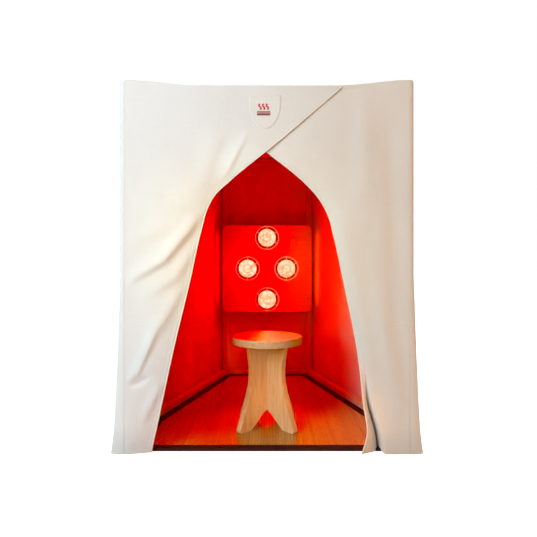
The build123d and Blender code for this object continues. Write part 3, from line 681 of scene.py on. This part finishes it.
def hem_relief(gap):
    """Section of a turned and stitched hem, at a distance in from the free edge."""
    raised = 0.0006 * smoothstep(HEM_W, HEM_W - 0.008, gap)
    stitched = -0.0005 * np.exp(-(((gap - HEM_W + 0.003) / 0.0022) ** 2))
    return raised + stitched


def edge_gap(x, z, edge):
    """Distance from the free edge, measured square to it."""
    slope = (edge(z + 0.004) - edge(z - 0.004)) / 0.008
    return np.abs(edge(z) - x) / np.sqrt(1 + slope**2)


def sheet_grid(across, side, edge):
    """Fractions across, and X and Z, of a front sheet's grid before it meets the roof."""
    t, v = np.meshgrid(across, np.linspace(0, 1, int(ROOF_Z / CELL)))
    z = HEM_Z + v * (ROOF_Z - ROLL - HEM_Z)
    x = side * SEAM_X + t * (edge(z) - side * SEAM_X)
    return t, x, z


def to_roof(x, z):
    """Heights with the topmost rows drawn up to the roof's edge."""
    share = (z - HEM_Z) / (ROOF_Z - ROLL - HEM_Z)
    return z + (roof_height(x, FRONT_Y) - ROOF_Z) * smoothstep(0.92, 1.0, share)


def left_sheet_points():
    """Grid of the left front sheet, from its seam at the corner post to its free edge."""
    hem = 1 - 0.034 / 0.55
    across = np.concatenate([np.linspace(0, hem, 88, endpoint=False), np.linspace(hem, 1, 10)])
    _, x, z = sheet_grid(across, -1, LEFT_EDGE)
    gap = edge_gap(x, z, LEFT_EDGE)
    out = front_relief(x, z, LEFT_FOLDS, LEFT_SEED) + hem_relief(gap)
    out -= EDGE_CURL * np.clip(1 - gap / 0.13, 0, 1) ** 2 * smoothstep(1.28, 1.08, z)
    return np.stack([x, FRONT_Y - FACE_OUT - out, to_roof(x, z)], axis=-1)


PLEAT_TOP, PLEAT_DEPTH, PLEAT_TUCK = 0.350, 0.085, 0.019
PLEAT_EDGE = smooth_curve([
    (0.36, 0.410), (0.336, 0.418), (0.231, 0.444), (0.147, 0.467), (0.063, 0.491), (HEM_Z, 0.499),
])


def right_sheet_points():
    """Grid of the right front sheet; low down its free edge is folded back into a deep pleat."""
    turn_at, deep_at = 0.80, 0.90
    across = np.concatenate([
        np.linspace(0, turn_at, 64, endpoint=False),
        np.linspace(turn_at, deep_at, 12, endpoint=False),
        np.linspace(deep_at, 1, 16),
    ])
    t, x, z = sheet_grid(across, 1, RIGHT_EDGE)
    free = RIGHT_EDGE(z)
    top_z = to_roof(x, z)
    gap = edge_gap(x, z, RIGHT_EDGE)
    layer = UNDER_Y + (FRONT_Y - UNDER_Y) * smoothstep(1.25, 1.05, z)
    layer = layer + (FRONT_Y - layer) * smoothstep(0.33, 0.45, x)
    out = front_relief(x, z, RIGHT_FOLDS, RIGHT_SEED) * smoothstep(-0.1, 0.35, x) + hem_relief(gap)
    curl = smoothstep(1.26, 1.05, z) * smoothstep(0.30, 0.55, z)
    out = out - EDGE_CURL * np.clip(1 - gap / 0.075, 0, 1) ** 2 * curl
    y = layer - out
    turned = smoothstep(PLEAT_TOP, 0.12, z)
    fold_x = PLEAT_EDGE(z)
    outer_x = SEAM_X + t / turn_at * (fold_x - SEAM_X)
    back_t = (t - turn_at) / (deep_at - turn_at)
    fore_t = (t - deep_at) / (1 - deep_at)
    deep_x = fold_x - PLEAT_TUCK
    back_x = fold_x + back_t * (deep_x - fold_x)
    fore_x = deep_x + fore_t * (free - deep_x)
    pleat_x = np.select([t < turn_at, t < deep_at], [outer_x, back_x], fore_x)
    rise = np.interp(fore_t, [0, 0.10, 0.22, 0.40, 0.70, 1.0], [1.0, 0.62, 0.42, 0.30, 0.16, 0.04])
    bend = np.where(t < deep_at, smoothstep(0, 1, back_t), rise)
    x = x + turned * (pleat_x - x)
    return np.stack([x, y + PLEAT_DEPTH * turned * bend, top_z], axis=-1)


def cloth_map(points):
    """Distances along and up the cloth, in metres, for every grid point."""
    steps = np.linalg.norm(np.diff(points, axis=1), axis=-1)
    along = np.concatenate([np.zeros((len(points), 1)), np.cumsum(steps, axis=1)], axis=1)
    return np.stack([along, points[..., 2]], axis=-1)


def edge_tape(name, points, width=0.0042, height=0.0030):
    """The thick turned edge along a sheet's free side, as a flattened tube."""
    line = points[:, -1]
    inner = unit(points[:, -3] - line)
    over = unit(np.cross(np.gradient(line, axis=0), inner))
    return tube(name, line + inner * width * 0.6, inner * width, over * height)


def stitches(name, line, normal, length=0.0042, gap=0.0030, half=0.00055):
    """A row of small raised stitches along a line that lies on the cloth."""
    travelled = travel(line)
    starts = np.arange(0, travelled[-1] - length, length + gap)
    tails, heads = (sample(line, travelled, at) for at in (starts, starts + length))
    ups = sample(normal, travelled, starts + length / 2)
    sides = np.cross(unit(heads - tails), ups)
    corners = 6
    vertices, faces = [], []
    for tail, head, up, side in zip(tails, heads, ups, sides):
        faces += prism_faces(len(vertices), corners, 3, flipped=True)
        for middle, swell in ((tail, 0.35), ((tail + head) / 2, 1.0), (head, 0.35)):
            for corner in range(corners):
                angle = math.tau * corner / corners
                offset = side * math.cos(angle) + up * (math.sin(angle) + 0.5)
                vertices.append(tuple(middle + offset * half * swell))
    piece = mesh_object(name, vertices, faces)
    piece.data.shade_smooth()
    return piece


def grid_normals(points):
    """Unit normals of a grid whose columns run anticlockwise in plan."""
    return unit(np.cross(np.gradient(points, axis=1), np.gradient(points, axis=0)))


def front_sheet(side, points, stitch_column, replaced):
    """Finishes one front sheet with its edge tape and hem stitching."""
    sheet = thicken(grid_piece(f"{side}_front_sheet", points, cloth_map(points)))
    dress(sheet, "canvas", replaces=replaced)
    tape = dress(edge_tape(f"{side}_edge_tape", points), "hem")
    normal = grid_normals(points)[:, stitch_column]
    normal = np.where(normal[:, 1:2] > 0, -normal, normal)
    line = points[:, stitch_column] + normal * CLOTH / 2
    seam = dress(stitches(f"{side}_hem_stitching", line, normal), "thread")
    for piece in (sheet, tape, seam):
        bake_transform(piece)


front_sheet("left", left_sheet_points(), -4, ("left_flap_header", "left_flap"))
front_sheet("right", right_sheet_points(), -5, ("right_flap_header", "right_flap"))


def wall_relief(x, y, z, travelled):
    """Soft upright waves in the walls, firmer at the rails and loose near the floor."""
    held = smoothstep(ROOF_Z, 1.42, z)
    wave = perlin(3.2 * travelled, 0.7 * z, 0 * z, 21.0)
    fine = perlin(11 * travelled, 2.2 * z + 3 * travelled, 0 * z, 33.0)
    hem = smoothstep(0.30, 0.0, z) * perlin(9 * travelled, 1.5 * z, 0 * z, 45.0)
    at_post = 1.0
    for post in POSTS.values():
        at_post = at_post * smoothstep(0.03, 0.13, np.hypot(x - post.x, y - post.y))
    relief = at_post * (held * (0.003 + 0.013 * wave + 0.003 * fine) + 0.011 * hem)
    on_rail = smoothstep(0.12, 0.05, z)
    return relief + on_rail * (np.maximum(relief, 0.0005) - relief)


def wall_points():
    """Grid of the wall cloth, from the right front seam round the back to the left one."""
    cell = CELL * 1.2
    first, last = (SEAM_X + 0.0005, FRONT_Y), (-SEAM_X - 0.0005, FRONT_Y)
    path, travelled = rounded_path([first, *CABIN_PLAN, last], CORNER_R, cell, False)
    x, y = path.T
    out_x, out_y = outward_normals(path, False).T
    v = np.linspace(0, 1, int(ROOF_Z / cell))[:, None]
    z = HEM_Z + v * (roof_height(x, y) - ROLL - HEM_Z)
    relief = wall_relief(x, y, z, travelled)
    on_front = smoothstep(FRONT_Y + 0.012, FRONT_Y + 0.002, y)
    spread = flare(z) * smoothstep(-0.30, FRONT_Y, y) * np.sign(x)
    spread = spread * smoothstep(SEAM_X - 0.001, WALL_X, np.abs(x))
    billow = front_relief(x, z, [], LEFT_SEED)
    wall_x = x + relief * out_x * (1 - on_front) + spread
    wall_y = y + relief * out_y * (1 - on_front) - on_front * (FACE_OUT + billow)
    return np.stack([wall_x, wall_y, z], axis=-1)


wall_grid = wall_points()
walls = thicken(grid_piece("wall_canvas", wall_grid, cloth_map(wall_grid)))
WALL_NODES = ["left_side", "right_side", "left_slant", "right_slant", "rear"]
dress(walls, "canvas", "enclosure", [f"{name}_canvas" for name in WALL_NODES])
WALL_SEAM_Z = 0.035
hem_row = int(round(WALL_SEAM_Z / (ROOF_Z / len(wall_grid))))
hem_out = grid_normals(wall_grid)[hem_row]
wall_seam = stitches("wall_hem_stitching", wall_grid[hem_row] + hem_out * CLOTH / 2, hem_out)
dress(wall_seam, "thread", "enclosure")


def roof_points():
    """Grid of the roof cloth in rings, from the middle out to its rolled edge."""
    path, _ = rounded_path(CABIN_PLAN, CORNER_R, CELL * 1.5, True)
    out = outward_normals(path, True)
    middle = np.array([0.0, (FRONT_Y + REAR_Y) / 2])
    rings = np.concatenate([np.linspace(0.02, 0.985, 64), [1.0]])
    inner = path - out * ROLL
    grid = middle + rings[:, None, None] * (inner - middle)[None]
    x, y = grid[..., 0], grid[..., 1]
    inside = smoothstep(1.0, 0.72, rings)[:, None]
    folds = 0.0022 * perlin(7 * x, 7 * y, 0 * x, 5.0) + 0.004 * perlin(2.2 * x, 2.2 * y, 0 * x, 9.0)
    z = roof_height(x, y) + inside * (folds - ROOF_SAG)
    edge_z = roof_height(inner[:, 0], inner[:, 1])
    rolled = []
    for angle in np.radians([30, 60, 90]):
        drop = ROLL * (1 - math.cos(angle))
        rolled.append(np.column_stack([inner + out * ROLL * math.sin(angle), edge_z - drop]))
    rolled.append(np.column_stack([path - out * 0.0030, edge_z - ROLL - 0.012]))
    return np.concatenate([np.stack([x, y, z], axis=-1), np.array(rolled)])


roof_grid = roof_points()
roof = grid_piece("roof_cover", roof_grid, roof_grid[..., :2], closed=True)
roof = thicken(close_rings(roof, longest=0.001))
dress(roof, "canvas", "enclosure", ("roof_canvas",))


# ---- the sewn patch

patch_low, patch_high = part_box("sewn_patch")
PATCH_X = (patch_low.x + patch_high.x) / 2
PATCH_W = patch_high.x - patch_low.x
PATCH_H = patch_high.z - patch_low.z
STITCH_RISE, PRINT_RISE = 0.0022, 0.0021


def on_left_sheet(x, z, rise):
    """Points that stand out by rise from the left sheet's outer face."""
    relief = front_relief(x, z, LEFT_FOLDS, LEFT_SEED)
    return np.stack([x, FRONT_Y - FACE_OUT - relief - CLOTH / 2 - rise, z], axis=-1)


def patch_outline(inset=0.0, count=14):
    """Half widths and heights of the shield, from its top edge down to its point."""
    shoulder = patch_low.z + 0.70 * PATCH_H
    half = PATCH_W / 2 - inset
    rows = [(patch_high.z - inset, half), (shoulder, half)]
    for i in range(1, count + 1):
        t = i / count
        height = shoulder - t * (shoulder - patch_low.z - 1.4 * inset)
        rows.append((height, half * math.sqrt(1 - t**1.7)))
    return rows


def build_patch():
    """The shield-shaped badge, laid on the sheet, with a raised stitched border."""
    heights, halves = zip(*reversed(patch_outline()))
    z = np.linspace(patch_low.z + 0.0005, patch_high.z, 60)[:, None]
    half = np.interp(z, heights, halves)
    share = np.linspace(-1, 1, 48)
    edge = np.minimum(half * (1 - np.abs(share)), patch_high.z - z)
    edge = np.minimum(edge, 0.6 * (z - patch_low.z))
    border = 0.0006 * np.exp(-(((edge - 0.006) / 0.0025) ** 2))
    rise = 0.0011 * np.minimum(1, edge / 0.002) + border + 0.0002
    points = on_left_sheet(PATCH_X + share * half, np.broadcast_to(z, edge.shape), rise)
    return grid_piece("sewn_badge", points, points[..., [0, 2]])


patch = thicken(build_patch(), 0.0008)
dress(patch, "patch", "enclosure", ("sewn_patch",))
patch_line = [(PATCH_X + half, height) for height, half in patch_outline(0.006, 24)]
patch_line += [(2 * PATCH_X - x, z) for x, z in reversed(patch_line)]
patch_line = on_left_sheet(*np.array(patch_line + patch_line[:1]).T, STITCH_RISE)
patch_out = np.zeros_like(patch_line) - (0, 1, 0)
patch_seam = stitches("badge_stitching", patch_line, patch_out, 0.0032, 0.0022, 0.0005)
dress(patch_seam, "thread", "enclosure")


def print_stroke(name, line, half_width, material):
    """A thin printed stroke on the badge along a line of X and Z points."""
    side = unit(np.gradient(line, axis=0))[:, ::-1] * (-1, 1)
    flat = line + np.linspace(-1, 1, 4)[:, None, None] * side * half_width
    points = on_left_sheet(flat[..., 0], flat[..., 1], PRINT_RISE)
    piece = thicken(grid_piece(name, points), 0.0003)
    return dress(piece, material, "enclosure")


for i in range(3):
    rise = np.linspace(0, 1, 20)
    wave_x = PATCH_X - 0.006 + (i - 1) * 0.0155 + 0.0042 * np.sin(math.tau * rise)
    wave = np.column_stack([wave_x, patch_high.z - 0.062 + 0.024 * rise])
    print_stroke(f"badge_wave_{i + 1}", wave, 0.0036, "red_ink")
bars = (0.072, 0.0032, "red_ink"), (0.082, 0.0046, "dark_ink")
for i, (drop, half, material) in enumerate(bars):
    bar_x = np.linspace(PATCH_X - 0.034, PATCH_X + 0.022, 12)
    bar = np.column_stack([bar_x, np.full(12, patch_high.z - drop)])
    print_stroke(f"badge_bar_{i + 1}", bar, half, material)


# ---- the floor mat


def mat_corners(inset=0.0):
    """The mat's six corners in plan, or those of a line inside its outline."""
    low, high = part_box("mat_backing")
    return slanted_plan(high.x - inset, low.y + inset, high.y - inset, -0.022 - inset)


MAT_LOW, MAT_TOP = (corner.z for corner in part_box("bamboo_mat"))
BINDING_W = 0.047
SLAT_W, SLAT_GAP, SLAT_INSET = 0.0125, 0.0010, 0.006


def slat_ends(x):
    """Front and rear end of a slat whose outer side is at x, inside the mat's outline."""
    (_, front), (kink_x, kink_y), (back_x, back_y) = mat_corners(SLAT_INSET)[:3]
    if x <= back_x:
        return front, back_y
    return front, kink_y + (back_y - kink_y) * (kink_x - x) / (kink_x - back_x)


def build_slats():
    """Bamboo slats that run from the front to the back, each with eased edges."""
    pitch = SLAT_W + SLAT_GAP
    count = int(2 * mat_corners(SLAT_INSET)[0][0] / pitch)
    section = [
        (-0.5, 0.0), (-0.5, 0.72), (-0.42, 0.93), (-0.30, 1.0), (0.30, 1.0), (0.42, 0.93),
        (0.5, 0.72), (0.5, 0.0),
    ]
    rings = 9
    vertices, faces = [], []
    for i in range(count):
        x = (i - (count - 1) / 2) * pitch
        lift = 0.0003 * noise.noise(Vector((i * 1.7, 0.3, 0.9)))
        tall = MAT_TOP - MAT_LOW - 0.0004 + lift
        faces += prism_faces(len(vertices), len(section), rings)
        for y in np.linspace(*slat_ends(abs(x) + SLAT_W / 2), rings):
            sway = 0.0002 * noise.noise(Vector((i * 0.9, y * 3, 0)))
            vertices += [(x + sx * SLAT_W + sway, y, MAT_LOW + sz * tall) for sx, sz in section]
    return mesh_object("bamboo_slats", vertices, faces)


dress(build_slats(), "bamboo", "enclosure", ("bamboo_mat",))


def build_binding():
    """Cloth border folded round the mat's edge, a little puckered along its inner seam."""
    stops = np.array([
        (BINDING_W, 0.0002), (BINDING_W - 0.0008, 0.0012), (BINDING_W - 0.004, 0.0016),
        (BINDING_W - 0.008, 0.0009), (BINDING_W / 2, 0.0014), (0.010, 0.0016),
        (0.003, 0.0010), (0.0006, -0.0010), (-0.0004, -0.0040), (0.0010, -0.0068),
    ])
    inset, rise = sample(stops, range(10), np.linspace(0, 9, 34)).T
    outer, travelled = rounded_path(mat_corners(), 0.012, 0.012, True)
    inner, _ = rounded_path(mat_corners(BINDING_W), 0.003, 0.012, True)
    ring = np.vstack([inner, inner[:1]])
    matched = sample(ring, np.linspace(0, 1, len(ring)), inner_share(outer, inner))
    t = (inset / BINDING_W)[:, None, None]
    plan = outer * (1 - t) + matched * t
    near_seam = np.exp(-(((inset - BINDING_W + 0.007) / 0.008) ** 2))[:, None]
    pucker = 0.0006 * np.sin(travelled * 190)[None] * near_seam
    z = MAT_TOP + 0.0004 + rise[:, None] + pucker
    uv = np.stack(np.broadcast_arrays(travelled[None], inset[:, None]), axis=-1)
    return grid_piece("mat_border", np.concatenate([plan, z[..., None]], axis=-1), uv, closed=True)


def corner_marks(path, corners):
    """Distances along a closed path, its length, and where its corners lie along it."""
    travelled = travel(np.vstack([path, path[:1]]))
    total = travelled[-1]
    marks = [travelled[np.argmin(np.hypot(*(path - corner).T))] for corner in corners]
    marks = [m if m > 0.02 or i == 0 else m + total for i, m in enumerate(marks)]
    return travelled[:-1], total, marks + [marks[0] + total]


def inner_share(outer, inner):
    """Share along the inner outline for each outer point, so that their corners match."""
    travelled, total, marks = corner_marks(outer, mat_corners())
    _, inner_total, inner_marks = corner_marks(inner, mat_corners(BINDING_W))
    placed = np.where(travelled < marks[0], travelled + total, travelled)
    return (np.interp(placed, marks, inner_marks) % inner_total) / inner_total


border = thicken(build_binding(), 0.0009)
dress(border, "tape", "enclosure", ("mat_binding",))


# ---- floor, light and camera


def floor_material():
    """Pale studio floor; the share that only the camera sees keeps it as white as the backdrop."""
    shade = Shade("studio_floor", Roughness=0.9)
    drift = shade.noise(shade.place, 0.8, 2.0)
    shade.colour(shade.ramp(drift, [(0.3, (0.44, 0.44, 0.44)), (0.7, (0.48, 0.48, 0.48))]))
    shade.surface.inputs["Emission Color"].default_value = (1, 1, 1, 1)
    ray = shade.nodes.new("ShaderNodeLightPath").outputs["Is Camera Ray"]
    shade.links.new(shade.maths("MULTIPLY", ray, 1.1), shade.surface.inputs["Emission Strength"])
    return shade.material


REACH = 30.0
floor_corners = [(x * REACH, y * REACH, -0.0005) for x, y in ((-1, -1), (1, -1), (1, 1), (-1, 1))]
floor = mesh_object("studio_floor", floor_corners, [(0, 1, 2, 3)])
floor.data.materials.append(floor_material())

world = bpy.data.worlds.new("studio")
bpy.context.scene.world = world
world.use_nodes = True
sky = world.node_tree
back, seen = sky.nodes["Background"], sky.nodes.new("ShaderNodeBackground")
for backdrop, strength in ((back, 0.10), (seen, 1.0)):
    backdrop.inputs["Color"].default_value = (1, 1, 1, 1)
    backdrop.inputs["Strength"].default_value = strength
ray = sky.nodes.new("ShaderNodeLightPath")
choose = sky.nodes.new("ShaderNodeMixShader")
sky.links.new(ray.outputs["Is Camera Ray"], choose.inputs["Fac"])
sky.links.new(back.outputs["Background"], choose.inputs[1])
sky.links.new(seen.outputs["Background"], choose.inputs[2])
sky.links.new(choose.outputs["Shader"], sky.nodes["World Output"].inputs["Surface"])


def add_light(name, kind, place, aim, power, colour):
    """A light that the camera doesn't see."""
    light = bpy.data.lights.new(name, kind)
    light.energy = power
    light.color = colour
    lamp = add_object(name, light, place, aim)
    lamp.visible_camera = False
    return lamp


def area_light(name, place, aim, size, power, colour):
    """A rectangular light."""
    lamp = add_light(name, "AREA", place, aim, power, colour)
    lamp.data.shape = "RECTANGLE"
    lamp.data.size, lamp.data.size_y = size
    return lamp


for row in (
    ("key", (-2.9, -3.8, 2.5), (0, -0.6, 0.8), (2.8, 2.8), 207, (0.875, 0.965, 1.0)),
    ("warm_side_light", (3.9, -2.5, 1.6), (0.2, -0.6, 0.7), (1.8, 2.2), 74, (1.0, 0.42, 0.10)),
    ("top", (0.6, 0.9, 4.2), (0, 0.2, 1.0), (2.4, 2.4), 44, (1.0, 1.0, 1.0)),
    ("rear_left", (-3.4, 3.6, 2.4), (0, 0.4, 0.8), (1.8, 1.8), 78, (1.0, 0.99, 0.97)),
    ("rear_right", (3.8, 2.2, 2.2), (0, 0.4, 0.8), (1.6, 1.6), 105, (0.82, 0.95, 1.0)),
):
    area_light(*row)


def small_light(name, place, power, colour, size, aim=None, cone=None, body=None, gloss=True):
    """A point light, or a spot where it has an aim; on a body it moves with it."""
    lamp = add_light(name, "SPOT" if aim else "POINT", place, aim, power, colour)
    lamp.data.shadow_soft_size = size
    if aim:
        lamp.data.spot_size, lamp.data.spot_blend = math.radians(cone), 0.75
    lamp.visible_glossy = gloss
    if body:
        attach(lamp, body)


GLASS_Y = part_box("upper_bulb")[0].y
RED = (1.0, 0.004, 0.001)
GLOW_GAP = 0.14  # from the glass or the board to its red lights
for name in frame["nodes"]:
    if name.endswith("_bulb"):
        bulb = centre(name)
        place = (bulb.x * 0.9, GLASS_Y - GLOW_GAP, bulb.z)
        power = 1.55 if name.startswith("left") else 1.9
        small_light(f"{name}_glow", place, power, RED, 0.05, body="lamp_panel")
board = centre("lamp_face_board")
seat = centre("stool_seat")
on_seat = (seat.x, seat.y - 0.06, seat.z)
on_mat = (0.03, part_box("bamboo_mat")[0].y + 0.03, 0)
beam_from = (0, board.y - 0.12, board.z + 0.1)
low_place = (0.02, board.y - GLOW_GAP, board.z - 0.36)
small_light("low_glow", low_place, 0.55, RED, 0.06, body="lamp_panel")
small_light("seat_beam", beam_from, 5, (0.8, 0.34, 0.05), 0.06, on_seat, 44, "lamp_panel")
small_light("mat_beam", beam_from, 66, (1.0, 0.10, 0.0), 0.06, on_mat, 53, "lamp_panel", False)
# The bulbs' red lies outside the display's colours: these take away green and blue
for row in (
    ("deepener", (-0.22, 0.14, 1.10), -1.05, (0.0, 1.0, 0.9), 0.25),
    ("low_deepener", (-0.20, 0.28, 0.42), -1.30, (0.0, 1.0, 0.8), 0.20),
    ("mat_deepener", (0.12, 0.10, 0.30), -0.50, (0.0, 1.0, 0.7), 0.10),
    ("front_deepener", (-0.18, -0.58, 0.28), -0.55, (0.0, 0.55, 1.0), 0.10),
    ("right_deepener", (0.38, -0.40, 0.54), -1.10, (0.10, 0.16, 1.0), 0.15),
):
    small_light(*row)
on_legs, on_wall = (0.02, seat.y, 0.15), (0.26, 0.2, 0.76)
small_light("stool_fill", (1.0, -2.5, 0.28), 152, (1.0, 0.50, 0.24), 0.15, on_legs, 12.3)
small_light("doorway_key", (-1.2, -3.4, 1.1), 84, (1.0, 0.72, 0.10), 0.20, on_wall, 20)
pleat = Vector((0.452, FRONT_Y - 0.07, 0.12))
to_pleat = pleat + Vector((0.03, 0.10, 0))
strip = area_light("pleat_glow", pleat, to_pleat, (0.02, 0.22), 0.018, (1.0, 0.40, 0.12))
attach(strip, "right_flap")
for side, name in ((-1, "edge_glow_left"), (1, "edge_glow_right")):
    edge = Vector((side * 0.318, board.y + 0.075, board.z))
    strip = area_light(name, edge, edge + Vector((side * 0.1, 0.03, 0)), (0.03, 0.5), 0.17, RED)
    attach(strip, "lamp_panel")

CAMERA_GAP, CAMERA_Z = 2.019, 0.814  # distance from the front cloth and height of the eye
camera = bpy.data.cameras.new("camera")
camera.lens = 32.18
camera.sensor_width = 36
camera.shift_x, camera.shift_y = 0.0028, -0.0132
eye = Vector((0, FRONT_Y - CAMERA_GAP, CAMERA_Z))
bpy.context.scene.camera = add_object("camera", camera, eye)
bpy.context.scene.camera.rotation_euler = (math.radians(90), 0, 0)
bpy.context.scene.view_settings.view_transform = "Standard"
